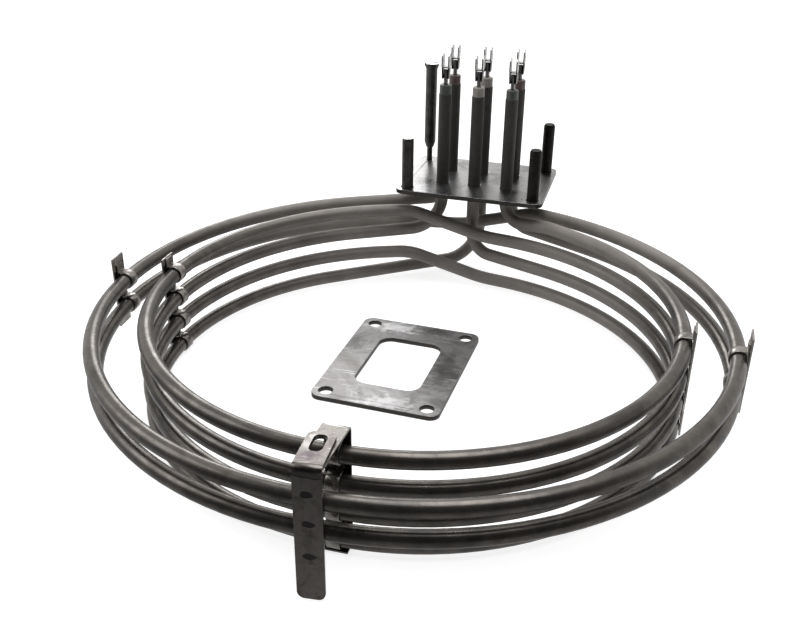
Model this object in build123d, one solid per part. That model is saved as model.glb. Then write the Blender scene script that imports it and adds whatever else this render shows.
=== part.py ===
"""Three-phase ring heater for an oven fan: three sheathed elements of two turns each,
brought out through one studded flange, clipped at the front and at both sides.

Millimetres, +Z up. The model is laid out with the axis of the turns at x = y = 0 and
the surface that it stands on at z = 0, then moved so that its origin is the middle of
the flange's upper face.
"""

import os
from math import acos, atan2, copysign, cos, degrees, hypot, radians, sin, tan

from build123d import *

# How an upright solid lies on its place: standing on it or hanging from it
UPWARD = (Align.CENTER, Align.CENTER, Align.MIN)
DOWNWARD = (Align.CENTER, Align.CENTER, Align.MAX)

# Tube and turns
tube_diameter = 8.5
outer_turn_radius = 173.5
stack_gap = 28.0
turn_spread = 1.9
turn_pitch = 15.6
outer_stack_drop = 3.6

# Crossover from one turn of an element to the next, along the back of the ring
crossover_start = 55.0
crossover_end = 24.0
crossover_run = 16.0
crossover_bend = 40.0

# Flange and the six leads that pass through it
flange_width = 101.0
flange_depth = 77.0
flange_thickness = 3.0
flange_corner_radius = 6.0
flange_set_in_length = 2.5
flange_top = 70.3
lead_pitch_x = 22.5
lead_pitch_y = 27.8
lead_height = 62.0
lead_hole_clearance = 0.2

# Bends from the leads into the turns
front_right_bend = 13.0
front_left_bend = 22.0
front_middle_bend = 15.0
back_side_bend = 16.0
back_middle_bend = 26.0
front_right_dip = 7.0
dip_run = 24.0
dip_bend = 60.0

# Lead ends: bore, packing, seal, pin and fork terminal
sheath_wall = 0.7
sheath_bore_depth = 55.0
seal_head_diameter = 7.9
seal_head_height = 6.2
seal_plug_depth = 6.0
seal_edge = 0.8
pin_diameter = 3.0
pin_above_seal = 10.0
pin_end_gap = 2.0
fork_foot_above_seal = 4.0
fork_cheek_height = 7.0
fork_cheek_width = 4.6
fork_tab_height = 8.2
fork_tab_width = 6.3
fork_tab_spacing = 4.4
fork_sheet = 0.8
fork_tab_hole = 1.6
fork_tab_chamfer = 1.2

# Studs, at the corners of the flange, each with a wider root pressed through it
stud_margin_width = 7.25
stud_margin_depth = 8.0
stud_diameter = 8.0
stud_height = 34.5
stud_root_diameter = 8.6
stud_chamfer_length = 0.7
press_clearance = 0.04

# Slim stud with a slotted sleeve nut, at the fourth corner
slim_stud_diameter = 4.0
slim_stud_showing = 10.0
slim_stud_grip = 26.0
sleeve_diameter = 8.0
sleeve_length = 61.0
sleeve_nose_height = 4.0
sleeve_nose_diameter = 5.4
sleeve_rim_diameter = 10.4
sleeve_rim_height = 3.0
sleeve_lip_height = 1.2
sleeve_slot_width = 1.8
sleeve_slot_depth = 1.6
sleeve_slot_angle = 35.0

# Straps and saddles that hold the turns of a stack apart
strap_width = 12.7
strap_thickness = 1.0
saddle_width = 6.5
saddle_thickness = 0.8
saddle_gap = 0.2
saddle_tail_length = 4.6
saddle_short_tail_length = 1.0
inner_strap_top_length = 10.4
outer_strap_top_length = 14.4
outer_strap_bottom_length = 14.0
left_outer_bearing = 183.2
left_inner_bearing = 180.2
right_clip_bearing = 0.0
front_clip_bearing = -89.3

# Folded bracket at the front
bracket_width = 12.7
bracket_thickness = 1.2
bracket_slope = 5.0
bracket_yaw = 5.0
bracket_yaw_gap = 0.4
bracket_bend_radius = 2.2
bracket_corner_radius = 3.5
bracket_slot_width = 6.0
bracket_slot_length = 14.0
bracket_slot_margin_length = 2.3
front_strap_showing_length = 10.5
front_strap_end_gap = 1.5
front_strap_rise_height = 11.5
front_strap_foot_length = 8.0
front_strap_foot_bend_radius = 0.6
front_strap_bend_radius = 2.0
seat_gap = 0.05

# Loose backing plate of the flange, lying between the turns
plate_thickness = 3.0
plate_hole_clearance = 0.5
plate_window_margin = 2.0
plate_window_corner = 8.0
plate_x = -13.6
plate_y = 19.0
plate_turn = 88.0

tube_radius = tube_diameter / 2
inner_turn_radius = outer_turn_radius - stack_gap
flange_centre_y = outer_turn_radius - flange_set_in_length
lead_top = flange_top + lead_height
front_row = flange_centre_y - lead_pitch_y / 2
back_row = flange_centre_y + lead_pitch_y / 2
lowest_turn = strap_thickness + saddle_thickness + saddle_gap + tube_radius + 2 * seat_gap
inner_levels = [lowest_turn + turn_pitch * step for step in (3, 2, 1, 0)]
outer_levels = [inner_levels[0] - outer_stack_drop - turn_pitch * step for step in (0, 1)]
leads = {
    "front_left": (-lead_pitch_x, front_row),
    "front_middle": (0, front_row),
    "front_right": (lead_pitch_x, front_row),
    "back_left": (-lead_pitch_x, back_row),
    "back_middle": (0, back_row),
    "back_right": (lead_pitch_x, back_row),
}
to_origin = Location((0, -flange_centre_y, -flange_top))


def on_ring(radius, bearing, level):
    """Point of a turn at a bearing in degrees from the back, positive to the right.

    A turn is two half circles, set apart to either side by the spread.
    """
    centre_x = copysign(turn_spread, bearing)
    return Vector(centre_x + radius * sin(radians(bearing)), radius * cos(radians(bearing)), level)


def along_ring(bearing):
    """Direction of travel to the right along a turn, at a bearing from the back."""
    return Vector(cos(radians(bearing)), -sin(radians(bearing)), 0)


def join_bearing(x, y, radius, side):
    """Bearing at which a straight run from a lead touches its turn."""
    across = x - side * turn_spread
    return degrees(atan2(across, y)) + side * degrees(acos(radius / hypot(across, y)))


def lead_run(x, y, radius, level, side, bend, dip):
    """Lead from its top, round its bend and straight on to its turn."""
    bearing = join_bearing(x, y, radius, side)
    meet = on_ring(radius, bearing, level)
    corners = [Vector(x, y, lead_top), Vector(x, y, level - dip), meet]
    bends = [bend]
    if dip > 0:
        corners.insert(2, meet - along_ring(bearing) * side * dip_run)
        bends.append(dip_bend)
    return bearing, FilletPolyline(*corners, radius=bends if dip > 0 else bend)


def turn_edges(radius, level, first, last):
    """Turn that runs from bearing first, over the front, to bearing last."""
    right = CenterArc((turn_spread, 0, level), radius, 90 - first, first - 180)
    front = Line((turn_spread, -radius, level), (-turn_spread, -radius, level))
    left = CenterArc((-turn_spread, 0, level), radius, -90, -180 - last)
    return [right.edge(), front.edge(), left.edge()]


def element_path(start, finish, radius, levels, bends, dip):
    """Centre line of an element that sets out to the right and ends on the left."""
    first, lead_in = lead_run(*start, radius, levels[0], 1, bends[0], dip)
    last, lead_out = lead_run(*finish, radius, levels[1], -1, bends[1], 0)
    leave = -degrees(crossover_start / radius)
    arrive = degrees(crossover_end / radius)
    crossover = FilletPolyline(
        on_ring(radius, leave, levels[0]),
        on_ring(radius, leave, levels[0]) + along_ring(leave) * crossover_run,
        on_ring(radius, arrive, levels[1]) - along_ring(arrive) * crossover_run,
        on_ring(radius, arrive, levels[1]),
        radius=crossover_bend,
    )
    upper = turn_edges(radius, levels[0], first, leave)
    lower = turn_edges(radius, levels[1], arrive, last)
    return Wire([*lead_in.edges(), *upper, *crossover.edges(), *lower, *lead_out.edges()])


def sheath(path, ends):
    """Tube along its centre line, with the bored ends that take pin and packing."""
    start = path @ 0
    tube = sweep(Plane(start, z_dir=path % 0) * Circle(tube_radius), path=path)
    for x, y in ends:
        bore = Cylinder(tube_radius - sheath_wall, sheath_bore_depth, align=DOWNWARD)
        tube -= Pos(x, y, lead_top) * bore
    return tube


def packing(x, y):
    """Magnesia packing round the cold pin, from the foot of the bore to the seal."""
    height = sheath_bore_depth - seal_plug_depth
    body = Cylinder(tube_radius - sheath_wall, height, align=UPWARD)
    pin_hole = Pos(0, 0, pin_end_gap) * Cylinder(pin_diameter / 2, height, align=UPWARD)
    return Pos(x, y, lead_top - sheath_bore_depth) * (body - pin_hole)


def seal(x, y):
    """Bead that closes the end of the tube, with its plug in the bore."""
    head = Cylinder(seal_head_diameter / 2, seal_head_height, align=UPWARD)
    head = fillet(head.edges().group_by(Axis.Z)[-1], seal_edge)
    plug = Cylinder(tube_radius - sheath_wall, seal_plug_depth, align=DOWNWARD)
    hole = Cylinder(pin_diameter / 2, 3 * (seal_head_height + seal_plug_depth))
    return Pos(x, y, lead_top) * (head + plug - hole)


def pin(x, y):
    """Cold pin from the packing up into the fork."""
    foot = lead_top - sheath_bore_depth + pin_end_gap
    height = lead_top + seal_head_height + pin_above_seal - foot
    rod = Cylinder(pin_diameter / 2, height, align=UPWARD)
    rod = chamfer(rod.edges().group_by(Axis.Z)[-1], pin_diameter / 8)
    return Pos(x, y, foot) * rod


def fork(x, y):
    """Stamped terminal: two cheeks on the pin, a bridge above it and two push-on tabs."""
    bridge_foot = fork_cheek_height
    tab_foot = bridge_foot + fork_sheet
    top = tab_foot + fork_tab_height
    inside = pin_diameter / 2
    spread = fork_tab_spacing / 2 - fork_sheet / 2
    outline = Polyline(
        (inside, 0), (inside + fork_sheet, 0), (spread + fork_sheet, bridge_foot),
        (spread + fork_sheet, tab_foot), (0, tab_foot), (0, bridge_foot), (spread, bridge_foot), (inside, 0),
    )
    half = extrude(make_face(Plane.XZ * outline), fork_cheek_width / 2, both=True)
    tab = Box(fork_sheet, fork_tab_width, fork_tab_height, align=(Align.MIN, Align.CENTER, Align.MIN))
    tab = chamfer(tab.edges().filter_by(Axis.X).group_by(Axis.Z)[-1], fork_tab_chamfer)
    tab -= Pos(0, 0, fork_tab_height * 0.45) * Rot(0, 90, 0) * Cylinder(fork_tab_hole / 2, 4 * fork_sheet)
    half += Pos(spread, 0, tab_foot) * tab
    whole = half + mirror(half, about=Plane.YZ)
    return Pos(x, y, lead_top + seal_head_height + fork_foot_above_seal) * whole


def corner_points():
    """Centres of the four stud positions, front left, front right, back right, back left."""
    across = flange_width / 2 - stud_margin_width
    deep = flange_depth / 2 - stud_margin_depth
    return [(-across, -deep), (across, -deep), (across, deep), (-across, deep)]


def flange_outline():
    """Outline that the flange and its backing plate share."""
    return RectangleRounded(flange_width, flange_depth, flange_corner_radius)


def flange():
    """Flange plate with six lead holes, three stud holes and one slim stud hole."""
    face = flange_outline()
    for x, y in leads.values():
        face -= Pos(x, y - flange_centre_y) * Circle(tube_radius + lead_hole_clearance / 2)
    for number, (x, y) in enumerate(corner_points()):
        hole = slim_stud_diameter if number == 3 else stud_root_diameter
        face -= Pos(x, y) * Circle(hole / 2 + press_clearance)
    plate = extrude(face, -flange_thickness)
    return Pos(0, flange_centre_y, flange_top) * plate


def stud(number):
    """Plain-sided stud on the flange, with its root set in it flush with the lower face."""
    x, y = corner_points()[number]
    rod = Cylinder(stud_diameter / 2, stud_height, align=UPWARD)
    rod = chamfer(rod.edges().group_by(Axis.Z)[-1], stud_chamfer_length)
    rod += Cylinder(stud_root_diameter / 2, flange_thickness, align=DOWNWARD)
    return Pos(x, flange_centre_y + y, flange_top) * rod


def slim_stud():
    """Thin stud at the back left corner, which the sleeve nut screws on to."""
    x, y = corner_points()[3]
    height = flange_thickness + slim_stud_showing + slim_stud_grip
    rod = Cylinder(slim_stud_diameter / 2, height, align=UPWARD)
    return Pos(x, flange_centre_y + y, flange_top - flange_thickness) * rod


def sleeve_nut():
    """Long sleeve with a tapered nose, a flared rim and a slot across its top."""
    x, y = corner_points()[3]
    rim_foot = sleeve_length - sleeve_lip_height - sleeve_rim_height
    profile = Polyline(
        (0, 0), (sleeve_nose_diameter / 2, 0), (sleeve_diameter / 2, sleeve_nose_height),
        (sleeve_diameter / 2, rim_foot), (sleeve_rim_diameter / 2, sleeve_length - sleeve_lip_height),
        (sleeve_rim_diameter / 2, sleeve_length), (0, sleeve_length), (0, 0),
    )
    body = revolve(make_face(Plane.XZ * profile), Axis.Z)
    bore_depth = slim_stud_grip + press_clearance
    body -= Cylinder(slim_stud_diameter / 2 + press_clearance, bore_depth, align=UPWARD)
    slot = Box(sleeve_rim_diameter * 2, sleeve_slot_width, sleeve_slot_depth, align=DOWNWARD)
    body -= Pos(0, 0, sleeve_length) * Rot(0, 0, sleeve_slot_angle) * slot
    return Pos(x, flange_centre_y + y, flange_top + slim_stud_showing) * body


def clip_face(radius, outside, slack=0.0):
    """Distance from the axis at which the turns rest against their strap."""
    reach = tube_radius + saddle_gap + slack
    return radius + (reach if outside else -reach)


def at_bearing(bearing, shape):
    """Turns a clip made along +X to its bearing on the turns."""
    return Pos(copysign(turn_spread, cos(radians(bearing))), 0, 0) * Rot(0, 0, bearing) * shape


def saddle(radius, levels, outside, above, below, slack=0.0):
    """Formed strip that loops round every turn of a stack and lies on the strap between.

    Its ends lie above and below the outermost loops by the lengths given, and slack is
    what the loops leave round the tubes beyond the usual gap.
    """
    face = clip_face(radius, outside, slack)
    side = 1 if outside else -1
    hug = tube_radius + saddle_gap + slack
    loop = hug + saddle_thickness
    low = min(levels) - loop - below
    high = max(levels) + loop + above
    middle = Pos(face - side * saddle_thickness / 2, (low + high) / 2)
    section = middle * Rectangle(saddle_thickness, high - low)
    for level in levels:
        section += Pos(radius, level) * Circle(loop)
        section += Pos(radius + side * hug / 2, level) * Rectangle(hug, 2 * loop)
    for level in levels:
        section -= Pos(radius, level) * Circle(hug)
        section -= Pos(radius + side * hug, level) * Rectangle(2 * hug, 2 * hug)
    return extrude(Plane.XZ * section, saddle_width / 2, both=True)


def strap(radius, foot, top):
    """Flat strap on the outer side of a stack, held to the saddle at its flats."""
    bar = Box(strap_thickness, strap_width, top - foot, align=(Align.MIN, Align.CENTER, Align.MIN))
    return Pos(clip_face(radius, True) + seat_gap, 0, foot) * bar


def folded_strip(corners, width, thickness, bends):
    """Strip of sheet bent along its centre line, given as distance from axis and height."""
    line = FilletPolyline(*[(out, 0, up) for out, up in corners], radius=bends)
    start = Plane(line @ 0, x_dir=(0, 1, 0), z_dir=line % 0)
    return sweep(start * Rectangle(width, thickness), path=line)


def rounded_end(part, thickness, radius, key):
    """Rounds the two corners at one end of a strip."""
    corners = part.edges().filter_by(lambda edge: abs(edge.length - thickness) < 0.01)
    return fillet(corners.sort_by(key)[-2:], radius)


def front_strap_out():
    """Distance from the axis of the front strap's centre line."""
    return clip_face(inner_turn_radius, False) - seat_gap - strap_thickness / 2


def bracket_out():
    """Distance from the axis of the front bracket's centre line."""
    return clip_face(outer_turn_radius, True, bracket_yaw_gap) + seat_gap + bracket_thickness / 2


def bracket_inner_end():
    """Distance from the axis of the free end of the bracket's flange."""
    return front_strap_out() + front_strap_showing_length


def slope_height(out):
    """Height of the front strap's upper flange, on its centre line."""
    rise = (out - front_strap_out()) * tan(radians(bracket_slope))
    return inner_levels[0] + front_strap_rise_height + rise


def yawed(shape):
    """Turns the bracket and what is welded to it about the middle of its upright."""
    pivot = Pos(bracket_out(), 0, 0)
    return pivot * Rot(0, 0, bracket_yaw) * pivot.inverse() * shape


def slot_cutter():
    """Round-ended slot through both upper flanges at the front."""
    out = bracket_inner_end() + bracket_slot_margin_length + bracket_slot_length / 2
    hole = extrude(SlotOverall(bracket_slot_length, bracket_slot_width), 4 * bracket_thickness, both=True)
    return yawed(Pos(out, 0, slope_height(out)) * Rot(0, -bracket_slope, 0) * hole)


def front_strap():
    """Inner front strap: a foot under the lowest turn, an upright and a sloping flange."""
    out = front_strap_out()
    low = strap_thickness / 2
    end = clip_face(outer_turn_radius, True) - front_strap_end_gap
    foot = [(out + front_strap_foot_length, low), (out, low)]
    corners = foot + [(out, slope_height(out)), (end, slope_height(end))]
    bends = [front_strap_foot_bend_radius, front_strap_bend_radius]
    part = folded_strip(corners, strap_width, strap_thickness, bends)
    return part - slot_cutter()


def front_bracket():
    """Front bracket: an upright outside the outer turns, folded in over the front strap."""
    out = bracket_out()
    inner = bracket_inner_end()
    lift = ((strap_thickness + bracket_thickness) / 2 + seat_gap) / cos(radians(bracket_slope))
    corners = [(inner, slope_height(inner) + lift), (out, slope_height(out) + lift), (out, 0)]
    part = folded_strip(corners, bracket_width, bracket_thickness, bracket_bend_radius)
    part = rounded_end(part, bracket_thickness, bracket_corner_radius, Axis.Z)
    part = rounded_end(part, bracket_thickness, bracket_corner_radius, -Axis.Z)
    return yawed(part) - slot_cutter()


def backing_plate():
    """Loose plate with the flange's outline and studs, and a window for the leads."""
    window_width = 2 * lead_pitch_x + tube_diameter + 2 * plate_window_margin
    window_depth = lead_pitch_y + tube_diameter + 2 * plate_window_margin
    face = flange_outline() - RectangleRounded(window_width, window_depth, plate_window_corner)
    for x, y in corner_points():
        face -= Pos(x, y) * Circle((stud_diameter + plate_hole_clearance) / 2)
    return Pos(plate_x, plate_y, 0) * Rot(0, 0, plate_turn) * extrude(face, plate_thickness)


def elements():
    """The three sheaths, each with the two leads that it ends in."""
    upper = element_path(
        leads["front_right"], leads["front_left"], inner_turn_radius, inner_levels[:2],
        (front_right_bend, front_left_bend), front_right_dip,
    )
    lower = element_path(
        leads["front_middle"], leads["back_middle"], inner_turn_radius, inner_levels[2:],
        (front_middle_bend, back_middle_bend), 0,
    )
    outer = element_path(
        leads["back_right"], leads["back_left"], outer_turn_radius, outer_levels,
        (back_side_bend, back_side_bend), 0,
    )
    return {
        "upper_inner_element": sheath(upper, [leads["front_right"], leads["front_left"]]),
        "lower_inner_element": sheath(lower, [leads["front_middle"], leads["back_middle"]]),
        "outer_element": mirror(sheath(outer, [leads["back_right"], leads["back_left"]]), about=Plane.YZ),
    }


def clips():
    """Straps and saddles at the left, right and front, and the front bracket."""
    inner, outer = inner_turn_radius, outer_turn_radius
    inner_top = inner_levels[0] + inner_strap_top_length
    outer_top = outer_levels[0] + outer_strap_top_length
    outer_foot = outer_levels[-1] - outer_strap_bottom_length
    tail = saddle_tail_length
    bearings = {
        "left": (left_inner_bearing, left_outer_bearing),
        "right": (right_clip_bearing, right_clip_bearing),
    }
    nodes = {}
    for side, (inner_turn, outer_turn) in bearings.items():
        nodes[f"{side}_inner_strap"] = at_bearing(inner_turn, strap(inner, 0, inner_top))
        nodes[f"{side}_inner_saddle"] = at_bearing(inner_turn, saddle(inner, inner_levels, True, tail, 0))
        nodes[f"{side}_outer_strap"] = at_bearing(outer_turn, strap(outer, outer_foot, outer_top))
        nodes[f"{side}_outer_saddle"] = at_bearing(outer_turn, saddle(outer, outer_levels, True, tail, tail))
    front = {
        "front_inner_saddle": saddle(inner, inner_levels, False, saddle_short_tail_length, 0),
        "front_outer_saddle": yawed(saddle(outer, outer_levels, True, tail, tail, bracket_yaw_gap)),
        "front_strap": front_strap(),
        "front_bracket": front_bracket(),
    }
    nodes.update({name: at_bearing(front_clip_bearing, shape) for name, shape in front.items()})
    return nodes


def build():
    """Every node by name, in the frame of the layout."""
    nodes = elements()
    nodes["flange"] = flange()
    for name, (x, y) in leads.items():
        nodes[f"packing_{name}"] = packing(x, y)
        nodes[f"seal_{name}"] = seal(x, y)
        nodes[f"cold_pin_{name}"] = pin(x, y)
        nodes[f"fork_terminal_{name}"] = fork(x, y)
    for number, name in enumerate(("front_left", "front_right", "back_right")):
        nodes[f"stud_{name}"] = stud(number)
    nodes["slim_stud"] = slim_stud()
    nodes["sleeve_nut"] = sleeve_nut()
    nodes.update(clips())
    nodes["backing_plate"] = backing_plate()
    return nodes


if __name__ == "__main__":
    os.makedirs("parts", exist_ok=True)
    for node, shape in build().items():
        export_step(to_origin * shape, f"parts/{node}.step")
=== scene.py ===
"""Looks for a ring heater: three sheathed elements, their flange, clips and loose plate."""

import logging
import math
from dataclasses import dataclass, field
from enum import Enum
from typing import Sequence

import bpy
from mathutils import Matrix, Vector


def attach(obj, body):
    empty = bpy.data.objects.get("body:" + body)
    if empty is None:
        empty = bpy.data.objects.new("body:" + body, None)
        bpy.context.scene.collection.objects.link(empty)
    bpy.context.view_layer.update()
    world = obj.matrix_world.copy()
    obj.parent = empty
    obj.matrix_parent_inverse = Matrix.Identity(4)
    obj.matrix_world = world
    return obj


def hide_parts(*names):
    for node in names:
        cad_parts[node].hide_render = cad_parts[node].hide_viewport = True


log = logging.getLogger("ring_heater")

# Layout in millimetres: middle of the flange behind the axis of the turns, and its top above the floor
MM = 0.001
FLANGE_Y = 171.0
FLANGE_TOP = 70.3

# Heights above the flange's upper face, in metres
STUD_TOP = 0.0345
NUT_TOP = 0.0710
# The terminals' painted shade covers their cheeks below TAB_FOOT.
TAB_FOOT = 0.0800

# Mesh clean-up: distances in metres within which points are one, and the angle that stays smooth
DOUBLES = 0.000001
WELD_GAP = 0.00001
SMOOTH_ANGLE = 35.0

# Marks: features of the noise along their edges to a metre, the middle of its range, where they end
EDGE_NOISE = 260.0
MIDDLE = (0.3, 0.7)
MARK_END = 1.05

# Scratches: their ways in degrees, and the stretch that draws noise out into lines
SCRATCH_WAYS = (24.0, 71.0, -38.0)
SCRATCH_STRETCH = (40.0, 900.0, 40.0)

# Width of the broken edge of flat sheet, in metres
SHEET_EDGE = 0.0003

PLAIN = (1.0, 1.0, 1.0)

Colour = tuple[float, float, float]
Extent = Sequence[float]
Stain = tuple[Vector, Extent, float]
Patch = tuple[Vector, Extent, Colour, float]


def place(x: float, y: float, z: float) -> Vector:
    """Point of the layout, from the axis of the turns and the floor, in the frame's metres."""
    return Vector((x, y - FLANGE_Y, z - FLANGE_TOP)) * MM


class Way(Enum):
    """Axis along which rolled or drawn metal shows its grain."""

    ALONG_X = (0.06, 1.0, 1.0)
    ALONG_Y = (1.0, 0.06, 1.0)
    ALONG_Z = (1.0, 1.0, 0.06)


class Board:
    """Node board of one material, with short ways to add what the finishes share."""

    def __init__(self, name: str) -> None:
        """Clears a new material down to its output.

        Args:
            name: Name of the material.
        """
        self.material = bpy.data.materials.new(name)
        self.material.use_nodes = True
        self.tree = self.material.node_tree
        self.tree.nodes.clear()
        self.output = self.tree.nodes.new("ShaderNodeOutputMaterial")
        self.coordinates = self.tree.nodes.new("ShaderNodeTexCoord").outputs["Object"]

    def link(self, source, target) -> None:
        """Joins an output to an input."""
        self.tree.links.new(source, target)

    def mapped(self, scale: Sequence[float] = PLAIN, turn: Sequence[float] = (0, 0, 0)):
        """Object coordinates, turned and stretched.

        Args:
            scale: Stretch along each axis.
            turn: Rotation in degrees about each axis.

        Returns:
            The vector output.
        """
        node = self.tree.nodes.new("ShaderNodeMapping")
        node.vector_type = "POINT"
        node.inputs["Scale"].default_value = scale
        node.inputs["Rotation"].default_value = [math.radians(angle) for angle in turn]
        self.link(self.coordinates, node.inputs["Vector"])
        return node.outputs["Vector"]

    def noise(self, vector, scale: float, detail: float, rough: float = 0.55, warp: float = 0.0):
        """Noise on a vector.

        Args:
            vector: Coordinates that it reads.
            scale: Features to a metre.
            detail: Octaves.
            rough: Weight of the finer octaves.
            warp: Distortion.

        Returns:
            The factor output.
        """
        node = self.tree.nodes.new("ShaderNodeTexNoise")
        node.inputs["Scale"].default_value = scale
        node.inputs["Detail"].default_value = detail
        node.inputs["Roughness"].default_value = rough
        node.inputs["Distortion"].default_value = warp
        self.link(vector, node.inputs["Vector"])
        return node.outputs["Fac"]

    def ramp(self, factor, stops: Sequence[tuple[float, Colour]]):
        """Colour ramp.

        Args:
            factor: What drives it.
            stops: Places from 0 to 1 with their colours.

        Returns:
            The colour output.
        """
        node = self.tree.nodes.new("ShaderNodeValToRGB")
        band = node.color_ramp
        while len(band.elements) < len(stops):
            band.elements.new(0.5)
        for element, (position, colour) in zip(band.elements, stops):
            element.position = position
            element.color = (*colour, 1.0)
        self.link(factor, node.inputs["Fac"])
        return node.outputs["Color"]

    def span(self, factor, low: float, high: float, to_low: float, to_high: float, smooth: bool = False):
        """Range of a value turned into another range, held at its ends.

        Args:
            factor: Value.
            low: Start of its range.
            high: End of its range.
            to_low: Result at the start.
            to_high: Result at the end.
            smooth: Eased rather than straight.

        Returns:
            The result output.
        """
        node = self.tree.nodes.new("ShaderNodeMapRange")
        node.interpolation_type = "SMOOTHSTEP" if smooth else "LINEAR"
        names = ("From Min", "From Max", "To Min", "To Max")
        for name, value in zip(names, (low, high, to_low, to_high)):
            node.inputs[name].default_value = value
        self.link(factor, node.inputs["Value"])
        return node.outputs["Result"]

    def maths(self, kind: str, first, second):
        """Sum, product or other plain operation on two values or outputs.

        Args:
            kind: Blender's name of the operation.
            first: Output or number.
            second: Output or number.

        Returns:
            The value output.
        """
        node = self.tree.nodes.new("ShaderNodeMath")
        node.operation = kind
        for socket, value in zip(node.inputs, (first, second)):
            if isinstance(value, (int, float)):
                socket.default_value = value
            else:
                self.link(value, socket)
        return node.outputs["Value"]

    def mix(self, factor, first, second):
        """Mix of two colours, each an output or a colour.

        Args:
            factor: Output or number.
            first: Colour at 0.
            second: Colour at 1.

        Returns:
            The colour output.
        """
        node = self.tree.nodes.new("ShaderNodeMix")
        node.data_type = "RGBA"
        sockets = (node.inputs[0], node.inputs[6], node.inputs[7])
        for socket, value in zip(sockets, (factor, first, second)):
            if isinstance(value, (int, float)):
                socket.default_value = value
            elif isinstance(value, tuple):
                socket.default_value = (*value, 1.0)
            else:
                self.link(value, socket)
        return node.outputs[2]

    def axis_value(self, axis: str):
        """Object coordinate along one axis, in metres."""
        node = self.tree.nodes.new("ShaderNodeSeparateXYZ")
        self.link(self.coordinates, node.inputs["Vector"])
        return node.outputs[axis]

    def spot(self, centre: Vector, size: Extent, warp: float, core: float = 0.75):
        """Soft oval mark: 1 in the middle, 0 outside.

        Args:
            centre: Middle, in metres.
            size: Half extent along each axis, in metres.
            warp: How far noise bends its edge.
            core: Share of the extent that the mark fills before it fades.

        Returns:
            The value output.
        """
        shift = self.tree.nodes.new("ShaderNodeVectorMath")
        shift.operation = "SUBTRACT"
        self.link(self.coordinates, shift.inputs[0])
        shift.inputs[1].default_value = centre
        stretch = self.tree.nodes.new("ShaderNodeVectorMath")
        stretch.operation = "DIVIDE"
        self.link(shift.outputs[0], stretch.inputs[0])
        stretch.inputs[1].default_value = size
        length = self.tree.nodes.new("ShaderNodeVectorMath")
        length.operation = "LENGTH"
        self.link(stretch.outputs[0], length.inputs[0])
        distance = length.outputs["Value"]
        wobble = self.noise(self.mapped(), EDGE_NOISE, 3.0)
        distance = self.maths("ADD", distance, self.span(wobble, *MIDDLE, -warp, warp))
        return self.span(distance, core, MARK_END, 1.0, 0.0, True)

    def bump(self, height, strength: float, distance: float, before=None):
        """Bump from a height.

        Args:
            height: Height output, 0 to 1.
            strength: Weight.
            distance: Depth in metres.
            before: Normal of an earlier bump.

        Returns:
            The normal output.
        """
        node = self.tree.nodes.new("ShaderNodeBump")
        node.inputs["Strength"].default_value = strength
        node.inputs["Distance"].default_value = distance
        self.link(height, node.inputs["Height"])
        if before is not None:
            self.link(before, node.inputs["Normal"])
        return node.outputs["Normal"]

    def surface(self, colour, roughness, normal=None, metallic=1.0, coat: float = 0.0):
        """Principled surface, joined to the output.

        Args:
            colour: Output or colour.
            roughness: Output or number.
            normal: Normal output.
            metallic: Weight of the metal, output or number.
            coat: Weight of a clear coat.

        Returns:
            The material.
        """
        shader = self.tree.nodes.new("ShaderNodeBsdfPrincipled")
        shader.inputs["Coat Weight"].default_value = coat
        inputs = {"Base Color": colour, "Roughness": roughness, "Metallic": metallic}
        for name, value in inputs.items():
            if isinstance(value, tuple):
                shader.inputs[name].default_value = (*value, 1.0)
            elif isinstance(value, (int, float)):
                shader.inputs[name].default_value = value
            else:
                self.link(value, shader.inputs[name])
        if normal is not None:
            self.link(normal, shader.inputs["Normal"])
        self.link(shader.outputs[0], self.output.inputs["Surface"])
        return self.material


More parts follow.
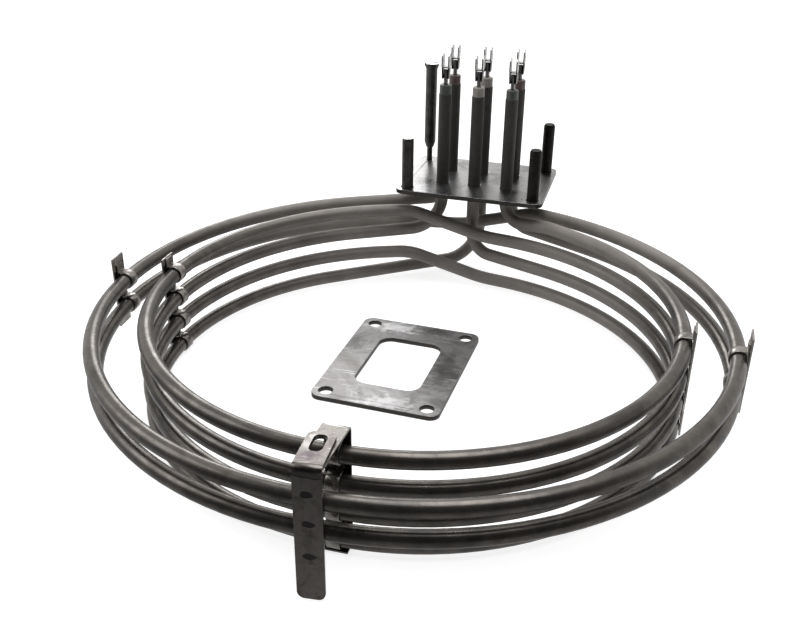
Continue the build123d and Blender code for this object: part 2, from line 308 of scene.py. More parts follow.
@dataclass(frozen=True)
class SheathFinish:
    """Dark annealed tube: brownish oxide in soft bands, darkest on the leads; towards the back, near the
    leads, painted sheen makes it lighter and duller.
    """

    name: str
    dark: Colour = (0.058, 0.052, 0.047)
    light: Colour = (0.128, 0.117, 0.107)
    blue: Colour = (0.090, 0.085, 0.082)
    # Lighter colours of the painted sheen that the back of the turns takes.
    painted_sheen: Colour = (0.205, 0.189, 0.175)
    painted_sheen_peak: Colour = (0.265, 0.246, 0.229)
    cold: Colour = (0.034, 0.032, 0.029)
    colder: Colour = (0.052, 0.049, 0.045)
    band_scale: float = 34.0
    cloud_scale: float = 110.0
    grain_scale: float = 1500.0
    roughness: float = 0.25
    dulling: float = 0.30
    metal: tuple[float, float] = (0.86, 0.12)
    # Depths along Y, in metres, over which the painted sheen fades in towards the back.
    back: tuple[float, float] = (-0.140, -0.015)
    lead: tuple[float, float] = (-0.012, -0.002)

    def build(self) -> bpy.types.Material:
        """Makes the material."""
        board = Board(self.name)
        bands = board.noise(board.mapped(), self.band_scale, 5.0, 0.6, 0.6)
        clouds = board.noise(board.mapped((1, 1, 1.6)), self.cloud_scale, 6.0, 0.65)
        grain = board.noise(board.mapped(), self.grain_scale, 3.0, 0.6)
        stops = [(0.30, self.dark), (0.50, self.light), (0.62, self.blue), (0.75, self.dark)]
        base = board.ramp(bands, stops)
        stained = board.mix(board.span(clouds, 0.42, 0.72, 0.0, 0.55), base, self.dark)
        # Painted sheen: towards the back the tube turns into a lighter, duller copy of its oxide.
        back = board.span(board.axis_value("Y"), *self.back, 0.0, 1.0, True)
        painted_sheen = board.ramp(bands, [(0.35, self.painted_sheen), (0.65, self.painted_sheen_peak)])
        colour = board.mix(back, stained, painted_sheen)
        lead = board.span(board.axis_value("Z"), *self.lead, 0.0, 1.0, True)
        cold = board.ramp(clouds, [(0.3, self.cold), (0.7, self.colder)])
        colour = board.mix(lead, colour, cold)
        rough = board.span(clouds, 0.3, 0.75, self.roughness, self.roughness + 0.16)
        rough = board.maths("ADD", rough, board.maths("MULTIPLY", back, self.dulling))
        metal = board.span(back, 0.0, 1.0, *self.metal)
        normal = board.bump(grain, strength=0.05, distance=0.00005)
        normal = board.bump(bands, strength=0.25, distance=0.0002, before=normal)
        return board.surface(colour, rough, normal, metal)


@dataclass(frozen=True)
class SheetFinish:
    """Rolled sheet or strip: grain, clouds and scratches, with painted shade darkening its sides below the
    top.
    """

    name: str
    low: Colour
    high: Colour
    stain: Colour
    way: Way
    roughness: float
    clouds: float
    scratch: float
    turn: float = 0.0
    # Height of the top face; below it the colour turns to the side colour as painted shade.
    top: float = math.inf
    fade: tuple[float, float] = (0.0004, 0.0001)
    grain_scale: float = 2400.0
    mottle_scale: float = 420.0
    # Dark colour of the painted shade on the sides.
    side: Colour = (0.06, 0.056, 0.052)
    burnt: Colour = (0.02, 0.018, 0.02)
    scraped: Colour = (0.82, 0.82, 0.84)

    def build(self, stains: Sequence[Stain] = (), patches: Sequence[Patch] = ()) -> bpy.types.Material:
        """Makes the material.

        Args:
            stains: Middle, half extent and depth of each dark mark.
            patches: Middle, half extent, colour and weight of each cloudy patch.

        Returns:
            The material.
        """
        board = Board(self.name)
        cloud = board.noise(board.mapped(), self.clouds, 6.0, 0.62, 0.8)
        fine = board.noise(board.mapped(self.way.value, (0, 0, self.turn)), self.grain_scale, 4.0, 0.6)
        mottle = board.noise(board.mapped(), self.mottle_scale, 5.0, 0.6)
        colour = board.ramp(cloud, [(0.34, self.low), (0.52, self.high), (0.74, self.stain)])
        colour = board.mix(board.span(mottle, 0.45, 0.75, 0.0, 0.35), colour, self.low)
        for number, angle in enumerate(SCRATCH_WAYS):
            drawn = board.mapped(SCRATCH_STRETCH, (12.0 * number, 9.0, angle + self.turn))
            lines = board.noise(drawn, 1.0, 2.0, 0.4)
            thin = board.span(lines, 0.70, 0.73, 0.0, self.scratch, True)
            colour = board.mix(thin, colour, self.scraped)
        for centre, size, tint, weight in patches:
            patch = board.spot(centre, size, warp=0.5, core=0.1)
            colour = board.mix(board.maths("MULTIPLY", patch, weight), colour, tint)
        # Painted shade: everything below the top face fades to the dark side colour.
        if math.isfinite(self.top):
            start, end = (self.top - depth for depth in self.fade)
            face = board.span(board.axis_value("Z"), start, end, 0.0, 1.0)
            colour = board.mix(face, self.side, colour)
        normal = board.bump(fine, strength=0.10, distance=0.00005)
        normal = board.bump(cloud, strength=0.35, distance=0.0003, before=normal)
        for centre, size, depth in stains:
            mark = board.spot(centre, size, warp=0.18)
            colour = board.mix(board.maths("MULTIPLY", mark, depth), colour, self.burnt)
            around = board.maths("SUBTRACT", 1.0, mark)
            normal = board.bump(around, strength=0.5, distance=0.0003, before=normal)
        uneven = board.maths("ADD", cloud, board.maths("MULTIPLY", fine, 0.3))
        rough = board.span(uneven, 0.4, 0.95, self.roughness - 0.07, self.roughness + 0.13)
        return board.surface(colour, rough, normal)


@dataclass(frozen=True)
class BeadFinish:
    """Glazed or moulded bead that closes a lead end."""

    name: str
    colour: Colour
    speck: Colour
    cloud_scale: float = 420.0
    grain_scale: float = 2600.0

    def build(self) -> bpy.types.Material:
        """Makes the material."""
        board = Board(self.name)
        cloud = board.noise(board.mapped(), self.cloud_scale, 5.0, 0.6)
        fine = board.noise(board.mapped(), self.grain_scale, 3.0, 0.6)
        colour = board.ramp(cloud, [(0.35, self.colour), (0.75, self.speck)])
        rough = board.span(cloud, *MIDDLE, 0.35, 0.55)
        normal = board.bump(fine, strength=0.2, distance=0.00008)
        return board.surface(colour, rough, normal, metallic=0.0, coat=0.15)


@dataclass(frozen=True)
class TurnedFinish:
    """Turned or threaded steel, with a fine rough skin."""

    name: str
    low: Colour
    high: Colour
    roughness: float
    grain: float = 0.3
    tip: float = math.inf
    fade: tuple[float, float] = (0.0003, 0.0001)
    skin_scale: float = 1400.0
    cloud_scale: float = 180.0
    bright: Colour = (0.86, 0.86, 0.85)

    def build(self) -> bpy.types.Material:
        """Makes the material, with a bright face above the height of its tip."""
        board = Board(self.name)
        rough_skin = board.noise(board.mapped(), self.skin_scale, 5.0, 0.65)
        cloud = board.noise(board.mapped(), self.cloud_scale, 5.0, 0.6)
        blend = board.maths("MULTIPLY", board.maths("ADD", rough_skin, cloud), 0.5)
        colour = board.ramp(blend, [(0.38, self.low), (0.62, self.high)])
        if math.isfinite(self.tip):
            start, end = (self.tip - depth for depth in self.fade)
            face = board.span(board.axis_value("Z"), start, end, 0.0, 1.0)
            colour = board.mix(face, colour, self.bright)
        rough = board.span(rough_skin, *MIDDLE, self.roughness - 0.08, self.roughness + 0.12)
        normal = board.bump(rough_skin, strength=self.grain, distance=0.00012)
        return board.surface(colour, rough, normal)


class Finishes:
    """Every finish of the heater, made once."""

    def __init__(self) -> None:
        """Builds the materials."""
        self.sheath = SheathFinish("sheath_oxide").build()
        self.flange = SheetFinish(
            "flange_sheet",
            low=(0.17, 0.165, 0.165),
            high=(0.34, 0.338, 0.342),
            stain=(0.22, 0.205, 0.19),
            way=Way.ALONG_X,
            roughness=0.28,
            clouds=34.0,
            scratch=0.12,
            # Painted shade on the flange's sides below its top face.
            top=0.0,
        ).build()
        self.plate = self.backing_plate()
        self.bracket = self.front_bracket()
        self.strap = SheetFinish(
            "clip_strip",
            low=(0.16, 0.15, 0.14),
            high=(0.30, 0.285, 0.265),
            stain=(0.19, 0.16, 0.165),
            way=Way.ALONG_Z,
            roughness=0.27,
            clouds=90.0,
            scratch=0.4,
        ).build()
        self.terminal = SheetFinish(
            "terminal_sheet",
            low=(0.36, 0.36, 0.355),
            high=(0.56, 0.56, 0.55),
            stain=(0.30, 0.28, 0.26),
            way=Way.ALONG_Z,
            roughness=0.26,
            clouds=130.0,
            scratch=0.3,
            # Painted shade: the cheeks below the foot of the tabs take the dark side colour.
            top=TAB_FOOT,
        ).build()
        black = (0.016, 0.015, 0.014), (0.045, 0.042, 0.039)
        grey = (0.05, 0.048, 0.045), (0.11, 0.106, 0.10)
        greenish = (0.05, 0.053, 0.05), (0.12, 0.123, 0.116)
        bright = (0.20, 0.195, 0.19), (0.36, 0.35, 0.34)
        self.stud = TurnedFinish("stud_black", *black, roughness=0.50).build()
        self.grey_stud = TurnedFinish("stud_grey", *grey, roughness=0.45, tip=STUD_TOP).build()
        self.nut = TurnedFinish("nut_steel", *greenish, roughness=0.42, grain=0.15, tip=NUT_TOP).build()
        self.pin = TurnedFinish("pin_steel", *bright, roughness=0.3, grain=0.1).build()
        self.packing = BeadFinish("magnesia", (0.70, 0.69, 0.65), (0.62, 0.61, 0.58)).build()
        self.beige = BeadFinish("bead_beige", (0.22, 0.205, 0.188), (0.31, 0.292, 0.27)).build()
        self.dark = BeadFinish("bead_grey", (0.05, 0.058, 0.053), (0.085, 0.093, 0.086)).build()
        self.red = BeadFinish("bead_red", (0.085, 0.055, 0.054), (0.13, 0.09, 0.088)).build()

    def backing_plate(self) -> bpy.types.Material:
        """Satin loose plate with three dark cloudy stains and two bright cloudy patches of painted highlight.
        """
        top = 3.0
        patches = [
            (place(15.0, 19.0, top), (0.013, 0.030, 0.004), (0.10, 0.095, 0.09), 0.75),
            (place(0.0, 63.0, top), (0.012, 0.008, 0.004), (0.12, 0.115, 0.11), 0.7),
            (place(-47.0, 34.0, top), (0.010, 0.012, 0.004), (0.13, 0.125, 0.12), 0.7),
            # The two bright patches are painted highlight, where the plate reflects the light from behind.
            (place(-28.0, 62.0, top), (0.020, 0.009, 0.004), (0.85, 0.85, 0.86), 0.6),
            (place(-8.0, -25.0, top), (0.022, 0.009, 0.004), (0.75, 0.75, 0.76), 0.4),
        ]
        finish = SheetFinish(
            "backing_sheet",
            low=(0.16, 0.154, 0.149),
            high=(0.31, 0.304, 0.306),
            stain=(0.15, 0.142, 0.14),
            way=Way.ALONG_Y,
            roughness=0.38,
            clouds=38.0,
            scratch=0.5,
            turn=8.0,
            # Painted shade on the plate's sides below its top face.
            top=place(0, 0, top).z,
        )
        return finish.build(patches=patches)

    def front_bracket(self) -> bpy.types.Material:
        """Dark bracket with three weld marks, a band of painted shade under its bend and a mottled top."""
        weld_size = (0.0034, 0.002, 0.0019)
        stains = [(place(4.0, -179.1, height), weld_size, 0.85) for height in (56.2, 41.0, 23.7)]
        # Painted shade: a dark band across the strip just under its bend.
        stains.append((place(4.0, -179.0, 66.2), (0.009, 0.004, 0.0022), 0.45))
        patches = [
            (place(2.0, -170.0, 68.0), (0.007, 0.006, 0.006), (0.05, 0.035, 0.042), 0.8),
            (place(7.0, -158.0, 70.0), (0.005, 0.008, 0.006), (0.06, 0.045, 0.04), 0.7),
            (place(-1.0, -160.0, 70.0), (0.004, 0.010, 0.006), (0.34, 0.33, 0.33), 0.6),
        ]
        finish = SheetFinish(
            "bracket_strip",
            low=(0.075, 0.068, 0.062),
            high=(0.145, 0.134, 0.124),
            stain=(0.11, 0.092, 0.10),
            way=Way.ALONG_Z,
            roughness=0.27,
            clouds=90.0,
            scratch=0.45,
        )
        return finish.build(stains, patches)


def dress(
    node: bpy.types.Object,
    material: bpy.types.Material,
    edge: float = 0.0,
    angle: float = 30.0,
) -> None:
    """Gives a CAD node its finish, and breaks its sharp edges.

    Args:
        node: The CAD object.
        material: Its finish.
        edge: Width of the broken edge in metres, or 0 for none.
        angle: Angle in degrees from which an edge counts as sharp.
    """
    node.data.materials.clear()
    node.data.materials.append(material)
    if edge > 0:
        weld = node.modifiers.new("weld", "WELD")
        weld.merge_threshold = WELD_GAP
        bevel = node.modifiers.new("edges", "BEVEL")
        bevel.width = edge
        bevel.segments = 2
        bevel.limit_method = "ANGLE"
        bevel.angle_limit = math.radians(angle)
        bevel.harden_normals = True
        bevel.use_clamp_overlap = True


def begin(name: str) -> bpy.types.Object:
    """Names the object just added and goes into edit mode with all of it selected."""
    thing = bpy.context.object
    thing.name = name
    thing.data.name = name
    bpy.ops.object.mode_set(mode="EDIT")
    bpy.ops.mesh.select_all(action="SELECT")
    return thing


def settle(thing: bpy.types.Object, material: bpy.types.Material, nodes: Sequence[str]) -> None:
    """Leaves edit mode, puts the place in the mesh, and joins the piece to the frame.

    Args:
        thing: The piece.
        material: Its finish.
        nodes: CAD nodes that it stands for.
    """
    bpy.ops.mesh.select_all(action="SELECT")
    bpy.ops.mesh.remove_doubles(threshold=DOUBLES)
    bpy.ops.mesh.normals_make_consistent(inside=False)
    bpy.ops.object.mode_set(mode="OBJECT")
    bpy.ops.object.transform_apply(location=True, rotation=True, scale=True)
    bpy.ops.object.shade_smooth_by_angle(angle=math.radians(SMOOTH_ANGLE))
    thing.data.materials.clear()
    thing.data.materials.append(material)
    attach(thing, "root")
    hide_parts(*nodes)
    thing.select_set(False)
    log.info("%s: %d faces", thing.name, len(thing.data.polygons))


@dataclass
class Bender:
    """Bends a tube from its end ring, run by run, as a tube bender does."""

    name: str
    radius: float = 4.25 * MM
    wall: float = 0.6 * MM
    mouth: float = 4.0 * MM
    lip: float = 0.15 * MM
    sides: int = 28
    step: float = 3.0
    direction: Vector = field(default_factory=lambda: Vector((0, 0, -1)))
    here: Vector = field(default_factory=Vector)

    def start(self, point: Vector) -> bpy.types.Object:
        """Sets the first ring, with the broken mouth of the tube inside it.

        Args:
            point: Middle of the tube's end, which faces up.

        Returns:
            The piece, in edit mode.
        """
        bpy.ops.object.select_all(action="DESELECT")
        inside = self.radius - self.wall
        foot = point - Vector((0, 0, self.mouth))
        bpy.ops.mesh.primitive_circle_add(vertices=self.sides, radius=inside, location=foot)
        thing = begin(self.name)
        bpy.ops.mesh.extrude_region_move(TRANSFORM_OT_translate={"value": (0, 0, self.mouth)})
        ratio = (self.radius - self.lip) / (self.radius - self.wall)
        bpy.ops.mesh.extrude_region_move(TRANSFORM_OT_translate={"value": (0, 0, 0)})
        bpy.ops.transform.resize(value=(ratio, ratio, 1.0), center_override=point)
        bpy.ops.mesh.extrude_region_move(TRANSFORM_OT_translate={"value": (0, 0, -self.lip)})
        ratio = self.radius / (self.radius - self.lip)
        bpy.ops.transform.resize(value=(ratio, ratio, 1.0), center_override=point)
        self.here = point - Vector((0, 0, self.lip))
        return thing

    def run(self, point: Vector) -> None:
        """Straight run to a point ahead."""
        bpy.ops.mesh.extrude_region_move(TRANSFORM_OT_translate={"value": point - self.here})
        self.here = point.copy()

    def bend(self, centre: Vector, axis: Vector, angle: float) -> None:
        """Bend about an axis.

        Args:
            centre: Point on the axis.
            axis: Direction of the axis.
            angle: Right-handed angle in radians.
        """
        steps = max(3, math.ceil(math.degrees(abs(angle)) / self.step))
        bpy.ops.mesh.spin(steps=steps, angle=-angle, center=centre, axis=axis)
        turn = Matrix.Rotation(angle, 4, axis)
        self.here = centre + turn @ (self.here - centre)
        self.direction = (turn.to_3x3() @ self.direction).normalized()

    def corner(self, corner: Vector, beyond: Vector, radius: float) -> None:
        """Straight run up to a corner, and the bend that rounds it.

        Args:
            corner: Where the two runs would meet.
            beyond: Any point further along the second run.
            radius: Radius of the bend.
        """
        ahead = (beyond - corner).normalized()
        angle = self.direction.angle(ahead)
        back = radius * math.tan(angle / 2)
        self.run(corner - self.direction * back)
        inward = (ahead - self.direction * ahead.dot(self.direction)).normalized()
        self.bend(self.here + inward * radius, self.direction.cross(ahead).normalized(), angle)

    def finish(self, point: Vector) -> None:
        """Last run up to the other mouth, which is broken and turned in like the first."""
        self.run(point - Vector((0, 0, self.lip)))
        ratio = (self.radius - self.lip) / self.radius
        bpy.ops.mesh.extrude_region_move(TRANSFORM_OT_translate={"value": (0, 0, self.lip)})
        bpy.ops.transform.resize(value=(ratio, ratio, 1.0), center_override=point)
        ratio = (self.radius - self.wall) / (self.radius - self.lip)
        bpy.ops.mesh.extrude_region_move(TRANSFORM_OT_translate={"value": (0, 0, 0)})
        bpy.ops.transform.resize(value=(ratio, ratio, 1.0), center_override=point)
        bpy.ops.mesh.extrude_region_move(TRANSFORM_OT_translate={"value": (0, 0, -self.mouth)})


@dataclass(frozen=True)
class Lead:
    """One lead of an element: where it stands and how it bends into its turn, in millimetres."""

    x: float
    y: float
    bend: float
    dip: float = 0.0


@dataclass
class Element:
    """Sheathed element of two turns, between two leads, in millimetres."""

    name: str
    radius: float
    levels: tuple[float, float]
    start: Lead
    end: Lead
    hand: int = 1
    top: float = 132.3
    leave: float = 55.0
    arrive: float = 24.0
    crossover_run: float = 16.0
    crossover_bend: float = 40.0
    dip_run: float = 24.0
    dip_bend: float = 60.0
    spread: float = 1.9

    def on_turn(self, bearing: float, level: float) -> Vector:
        """Point of a turn at a bearing from the back, positive along the way of travel."""
        out = math.copysign(self.spread, bearing) + self.radius * math.sin(bearing)
        return place(self.hand * out, self.radius * math.cos(bearing), level)

    def along(self, bearing: float) -> Vector:
        """Way of travel along a turn at a bearing."""
        return Vector((self.hand * math.cos(bearing), -math.sin(bearing), 0.0))

    def meeting(self, lead: Lead, side: int) -> float:
        """Bearing at which a lead's straight run touches the turn."""
        across = self.hand * lead.x - side * self.spread
        swing = math.acos(self.radius / math.hypot(across, lead.y))
        return math.atan2(across, lead.y) + side * swing

    def turn(self, bender: Bender, level: float, first: float, last: float) -> None:
        """Turn of two half circles, from one bearing over the front to another."""
        centre = place(self.hand * self.spread, 0, level)
        opposite = place(-self.hand * self.spread, 0, level)
        bender.bend(centre, Vector((0, 0, 1)), -self.hand * (math.pi - first))
        bender.run(bender.here + opposite - centre)
        bender.bend(opposite, Vector((0, 0, 1)), -self.hand * (math.pi + last))

    def build(self, material: bpy.types.Material) -> None:
        """Bends the whole tube.

        Args:
            material: Its finish.
        """
        upper, lower = self.levels
        bender = Bender(self.name)
        thing = bender.start(place(self.start.x, self.start.y, self.top))
        first = self.meeting(self.start, 1)
        meet = self.on_turn(first, upper)
        foot = place(self.start.x, self.start.y, upper - self.start.dip)
        if self.start.dip > 0:
            rise = meet - self.along(first) * self.dip_run * MM
            bender.corner(foot, rise, self.start.bend * MM)
            bender.corner(rise, meet, self.dip_bend * MM)
        else:
            bender.corner(foot, meet, self.start.bend * MM)
        bender.run(meet)
        leave = -self.leave / self.radius
        arrive = self.arrive / self.radius
        self.turn(bender, upper, first, leave)
        landing = self.on_turn(arrive, lower)
        over = self.on_turn(leave, upper) + self.along(leave) * self.crossover_run * MM
        under = landing - self.along(arrive) * self.crossover_run * MM
        bender.corner(over, under, self.crossover_bend * MM)
        bender.corner(under, landing, self.crossover_bend * MM)
        bender.run(landing)
        last = self.meeting(self.end, -1)
        self.turn(bender, lower, arrive, last)
        foot = place(self.end.x, self.end.y, lower)
        top = place(self.end.x, self.end.y, self.top)
        bender.corner(foot, top, self.end.bend * MM)
        bender.finish(top)
        settle(thing, material, [self.name.replace("_tube", "_element")])


@dataclass
class Elements:
    """The three elements and the six lead ends that close them."""

    across: float = 22.5
    front: float = 157.1
    back: float = 184.9
    inner_radius: float = 145.5
    outer_radius: float = 173.5
    pitch: float = 15.6
    lowest: float = 6.35
    drop: float = 3.6
    fork_edge: float = 0.00012

    def build(self, finishes: Finishes) -> None:
        """Bends the tubes and dresses the nodes of the lead ends.

        Args:
            finishes: The heater's finishes.
        """
        levels = [self.lowest + self.pitch * step for step in (3, 2, 1, 0)]
        tubes = [
            Element(
                "upper_inner_tube",
                self.inner_radius,
                levels=(levels[0], levels[1]),
                start=Lead(self.across, self.front, bend=13.0, dip=7.0),
                end=Lead(-self.across, self.front, bend=22.0),
            ),
            Element(
                "lower_inner_tube",
                self.inner_radius,
                levels=(levels[2], levels[3]),
                start=Lead(0.0, self.front, bend=15.0),
                end=Lead(0.0, self.back, bend=26.0),
            ),
            Element(
                "outer_tube",
                self.outer_radius,
                levels=(levels[0] - self.drop, levels[0] - self.drop - self.pitch),
                start=Lead(-self.across, self.back, bend=16.0),
                end=Lead(self.across, self.back, bend=16.0),
                hand=-1,
            ),
        ]
        for tube in tubes:
            tube.build(finishes.sheath)
        beads = {
            "front_left": finishes.dark,
            "front_middle": finishes.beige,
            "front_right": finishes.dark,
            "back_left": finishes.red,
            "back_middle": finishes.beige,
            "back_right": finishes.red,
        }
        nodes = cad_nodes()
        for place_name, bead in beads.items():
            dress(nodes[f"seal_{place_name}"], bead)
            dress(nodes[f"packing_{place_name}"], finishes.packing)
            dress(nodes[f"cold_pin_{place_name}"], finishes.pin)
            dress(nodes[f"fork_terminal_{place_name}"], finishes.terminal, self.fork_edge)


@dataclass
class Stud:
    """Threaded stud: fine grooves, a chamfered tip, a centre mark and a wide root, in millimetres."""

    name: str
    x: float
    y: float
    radius: float = 4.0
    height: float = 34.5
    grip: float = 3.0
    root: float = 4.3
    pitch: float = 1.25
    depth: float = 0.16
    chamfer: float = 0.7
    flank_share: float = 0.42
    plain: float = 0.4
    mark_radius: float = 0.8
    mark_foot: float = 0.1
    mark_depth: float = 0.5
    sides: int = 36

    def ring(self, radius: float, rise: float, scale_from: float, centre: Vector) -> None:
        """Adds one ring of the profile above the last.

        Args:
            radius: Radius of the new ring.
            rise: How far it lies above the last.
            scale_from: Radius of the last ring.
            centre: Point on the stud's axis.
        """
        bpy.ops.mesh.extrude_region_move(TRANSFORM_OT_translate={"value": (0, 0, rise * MM)})
        ratio = radius / scale_from
        bpy.ops.transform.resize(value=(ratio, ratio, 1.0), center_override=centre)

    def build(self, material: bpy.types.Material, node: str) -> None:
        """Turns the stud.

        Args:
            material: Its finish.
            node: CAD node that it stands for.
        """
        bpy.ops.object.select_all(action="DESELECT")
        centre = place(self.x, self.y, FLANGE_TOP - self.grip)
        root = self.root * MM
        bpy.ops.mesh.primitive_circle_add(
            vertices=self.sides, radius=root, fill_type="NGON", location=centre,
        )
        thing = begin(self.name)
        self.ring(self.root, self.grip, self.root, centre)
        self.ring(self.radius, 0.0, self.root, centre)
        now = self.radius
        self.ring(self.radius, self.plain, now, centre)
        turns = int((self.height - self.chamfer - self.plain) / self.pitch)
        flank = self.pitch * self.flank_share
        land = (self.pitch - 2 * flank) / 2
        for _ in range(turns):
            groove = self.radius - self.depth
            steps = ((groove, flank), (groove, land), (self.radius, flank), (self.radius, land))
            for radius, rise in steps:
                self.ring(radius, rise, now, centre)
                now = radius
        left = self.height - self.plain - turns * self.pitch
        self.ring(self.radius - self.chamfer, left, now, centre)
        now = self.radius - self.chamfer
        self.ring(self.mark_radius, 0.0, now, centre)
        self.ring(self.mark_foot, -self.mark_depth, self.mark_radius, centre)
        bpy.ops.mesh.edge_face_add()
        settle(thing, material, [node])


@dataclass
class FlangeSet:
    """Flange with its studs, the slim stud and the sleeve nut."""

    across: float = 43.25
    deep: float = 30.5
    nut_edge: float = 0.0002

    def build(self, finishes: Finishes) -> None:
        """Turns the studs and dresses the rest.

        Args:
            finishes: The heater's finishes.
        """
        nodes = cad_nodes()
        dress(nodes["flange"], finishes.flange, SHEET_EDGE)
        dress(nodes["slim_stud"], finishes.nut)
        dress(nodes["sleeve_nut"], finishes.nut, self.nut_edge)
        places = {"front_left": (-1, -1), "front_right": (1, -1), "back_right": (1, 1)}
        for name, (right, back) in places.items():
            stud = Stud(f"{name}_stud", right * self.across, FLANGE_Y + back * self.deep)
            stud.build(finishes.grey_stud if name == "front_left" else finishes.stud, f"stud_{name}")


@dataclass
class Clips:
    """Straps, saddles and the front bracket."""

    edge: float = 0.00018
    square: float = 60.0

    def build(self, finishes: Finishes) -> None:
        """Dresses the clips.

        Args:
            finishes: The heater's finishes.
        """
        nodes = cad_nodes()
        dress(nodes["front_bracket"], finishes.bracket, self.edge)
        dress(nodes["front_strap"], finishes.bracket, self.edge, self.square)
        for name, node in nodes.items():
            if name.endswith("_saddle") or (name.endswith("_strap") and name != "front_strap"):
                dress(node, finishes.strap, self.edge)


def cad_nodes() -> dict[str, bpy.types.Object]:
    """CAD objects by name."""
    return frame["nodes"]


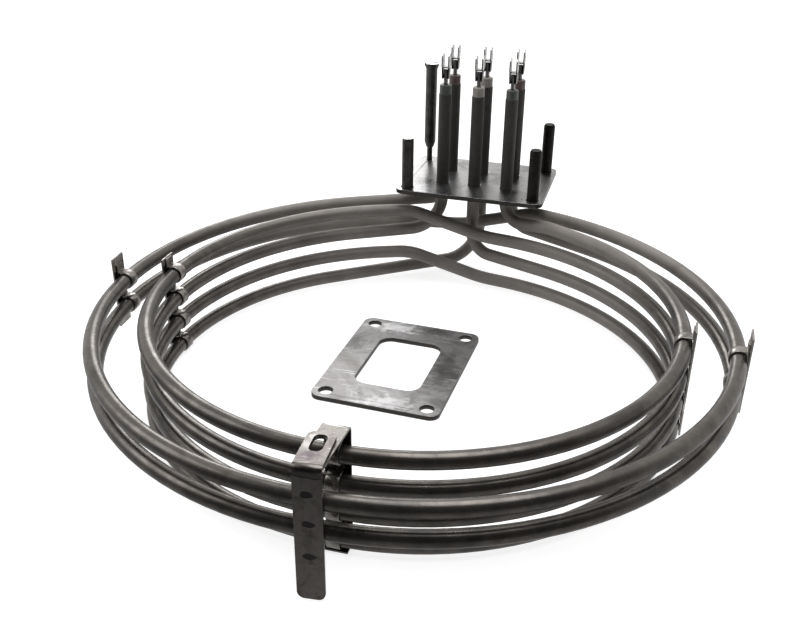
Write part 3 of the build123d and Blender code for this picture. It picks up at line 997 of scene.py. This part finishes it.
@dataclass
class Studio:
    """Floor, surroundings, lamps and camera."""

    floor_z: float = -FLANGE_TOP * MM
    eye: Vector = field(default_factory=lambda: Vector((0.1235, -0.6414, 0.2313)))
    ahead: Vector = field(default_factory=lambda: Vector((-0.2380, 0.8510, -0.4680)))
    roll: float = 0.72
    lens: float = 43.68
    sensor: float = 36.0
    floor_size: float = 30.0
    floor_level: float = 0.86
    seen_level: float = 0.45
    seen_glow: float = 0.80
    mirror_depth: tuple[float, float] = (-0.62, -0.10)
    mirror_glow: tuple[float, float] = (0.06, 0.85)
    dark_way: tuple[float, float, float] = (0.20, -0.90, 0.38)
    dark_span: tuple[float, float] = (-0.15, 0.62)
    sky_glow: tuple[float, float] = (1.0, 0.05)
    sky: Colour = (1.0, 0.985, 0.965)

    def camera(self) -> None:
        """Sets up the camera."""
        data = bpy.data.cameras.new("camera")
        data.lens = self.lens
        data.sensor_width = self.sensor
        data.sensor_fit = "HORIZONTAL"
        data.clip_start = 0.01
        data.clip_end = 50.0
        eye = bpy.data.objects.new("camera", data)
        bpy.context.collection.objects.link(eye)
        ahead = self.ahead.normalized()
        right = ahead.cross(Vector((0, 0, 1))).normalized()
        up = right.cross(ahead)
        cosine, sine = math.cos(math.radians(self.roll)), math.sin(math.radians(self.roll))
        across = right * cosine + up * sine
        upward = up * cosine - right * sine
        eye.matrix_world = Matrix((across, upward, -ahead)).transposed().to_4x4()
        eye.location = self.eye
        bpy.context.scene.camera = eye

    def floor(self) -> None:
        """Pale floor, which mirrors show bright behind the heater and dark in front of it."""
        bpy.ops.object.select_all(action="DESELECT")
        bpy.ops.mesh.primitive_plane_add(size=self.floor_size, location=(0, 0, self.floor_z))
        ground = bpy.context.object
        ground.name = "floor"
        board = Board("pale_floor")
        tree = board.tree
        diffuse = tree.nodes.new("ShaderNodeBsdfDiffuse")
        diffuse.inputs["Color"].default_value = (*[self.floor_level] * 3, 1.0)
        seen = tree.nodes.new("ShaderNodeBsdfDiffuse")
        seen.inputs["Color"].default_value = (*[self.seen_level] * 3, 1.0)
        glow = tree.nodes.new("ShaderNodeEmission")
        glow.inputs["Strength"].default_value = self.seen_glow
        path = tree.nodes.new("ShaderNodeLightPath")
        both = tree.nodes.new("ShaderNodeAddShader")
        plain = tree.nodes.new("ShaderNodeMixShader")
        board.link(seen.outputs[0], both.inputs[0])
        board.link(glow.outputs[0], both.inputs[1])
        board.link(path.outputs["Is Camera Ray"], plain.inputs[0])
        mirrored = tree.nodes.new("ShaderNodeEmission")
        depth = board.axis_value("Y")
        strength = board.span(depth, *self.mirror_depth, *self.mirror_glow, True)
        board.link(strength, mirrored.inputs["Strength"])
        unseen = tree.nodes.new("ShaderNodeMixShader")
        board.link(path.outputs["Is Glossy Ray"], unseen.inputs[0])
        board.link(diffuse.outputs[0], unseen.inputs[1])
        board.link(mirrored.outputs[0], unseen.inputs[2])
        board.link(unseen.outputs[0], plain.inputs[1])
        board.link(both.outputs[0], plain.inputs[2])
        board.link(plain.outputs[0], board.output.inputs["Surface"])
        ground.data.materials.append(board.material)

    def surroundings(self) -> None:
        """World that is white to look at; in reflections it is bright behind and dark in front and above."""
        world = bpy.data.worlds.new("studio")
        bpy.context.scene.world = world
        world.use_nodes = True
        tree = world.node_tree
        tree.nodes.clear()
        output = tree.nodes.new("ShaderNodeOutputWorld")
        coordinates = tree.nodes.new("ShaderNodeTexCoord")
        towards = tree.nodes.new("ShaderNodeVectorMath")
        towards.operation = "DOT_PRODUCT"
        tree.links.new(coordinates.outputs["Generated"], towards.inputs[0])
        towards.inputs[1].default_value = self.dark_way
        shade = tree.nodes.new("ShaderNodeMapRange")
        shade.interpolation_type = "SMOOTHSTEP"
        names = ("From Min", "From Max", "To Min", "To Max")
        for name, value in zip(names, (*self.dark_span, *self.sky_glow)):
            shade.inputs[name].default_value = value
        tree.links.new(towards.outputs["Value"], shade.inputs["Value"])
        soft = tree.nodes.new("ShaderNodeBackground")
        soft.inputs["Color"].default_value = (*self.sky, 1.0)
        tree.links.new(shade.outputs["Result"], soft.inputs["Strength"])
        white = tree.nodes.new("ShaderNodeBackground")
        white.inputs["Color"].default_value = (1.0, 1.0, 1.0, 1.0)
        path = tree.nodes.new("ShaderNodeLightPath")
        pick = tree.nodes.new("ShaderNodeMixShader")
        tree.links.new(path.outputs["Is Camera Ray"], pick.inputs[0])
        tree.links.new(soft.outputs[0], pick.inputs[1])
        tree.links.new(white.outputs[0], pick.inputs[2])
        tree.links.new(pick.outputs[0], output.inputs["Surface"])

    def lamp(self, name: str, location: Vector, aim: Vector, size: tuple[float, float], power: float) -> None:
        """Soft rectangular lamp.

        Args:
            name: Its name.
            location: Where it hangs.
            aim: Point that it faces.
            size: Width and height in metres.
            power: Watts.
        """
        data = bpy.data.lights.new(name, "AREA")
        data.shape = "RECTANGLE"
        data.size, data.size_y = size
        data.energy = power
        thing = bpy.data.objects.new(name, data)
        bpy.context.collection.objects.link(thing)
        thing.location = location
        thing.rotation_euler = (aim - location).to_track_quat("-Z", "Y").to_euler()

    def build(self) -> None:
        """Sets the whole studio."""
        self.camera()
        self.floor()
        self.surroundings()
        ring = Vector((0, -0.17, 0))
        flange = Vector((0, 0, 0))
        self.lamp("overhead", Vector((0.1, -0.1, 1.3)), ring, (1.2, 0.8), 12.0)
        self.lamp("behind", Vector((-0.72, 1.40, 0.62)), flange, (0.60, 0.60), 6.5)
        self.lamp("left", Vector((-1.2, -0.5, 0.8)), ring, (0.8, 0.8), 6.0)
        bpy.context.scene.view_settings.view_transform = "Standard"


def main() -> None:
    """Builds the looks."""
    logging.basicConfig(level=logging.INFO)
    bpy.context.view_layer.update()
    Studio().build()
    finishes = Finishes()
    Elements().build(finishes)
    FlangeSet().build(finishes)
    Clips().build(finishes)
    dress(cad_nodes()["backing_plate"], finishes.plate, SHEET_EDGE)


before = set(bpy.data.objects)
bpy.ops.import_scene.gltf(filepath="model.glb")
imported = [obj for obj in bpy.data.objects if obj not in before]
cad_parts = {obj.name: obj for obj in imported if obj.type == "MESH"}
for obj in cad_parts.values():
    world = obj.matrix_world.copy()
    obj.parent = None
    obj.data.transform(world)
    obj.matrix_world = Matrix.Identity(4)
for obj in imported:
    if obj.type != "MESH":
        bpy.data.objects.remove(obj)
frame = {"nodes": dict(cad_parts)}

if __name__ == "__main__":
    main()
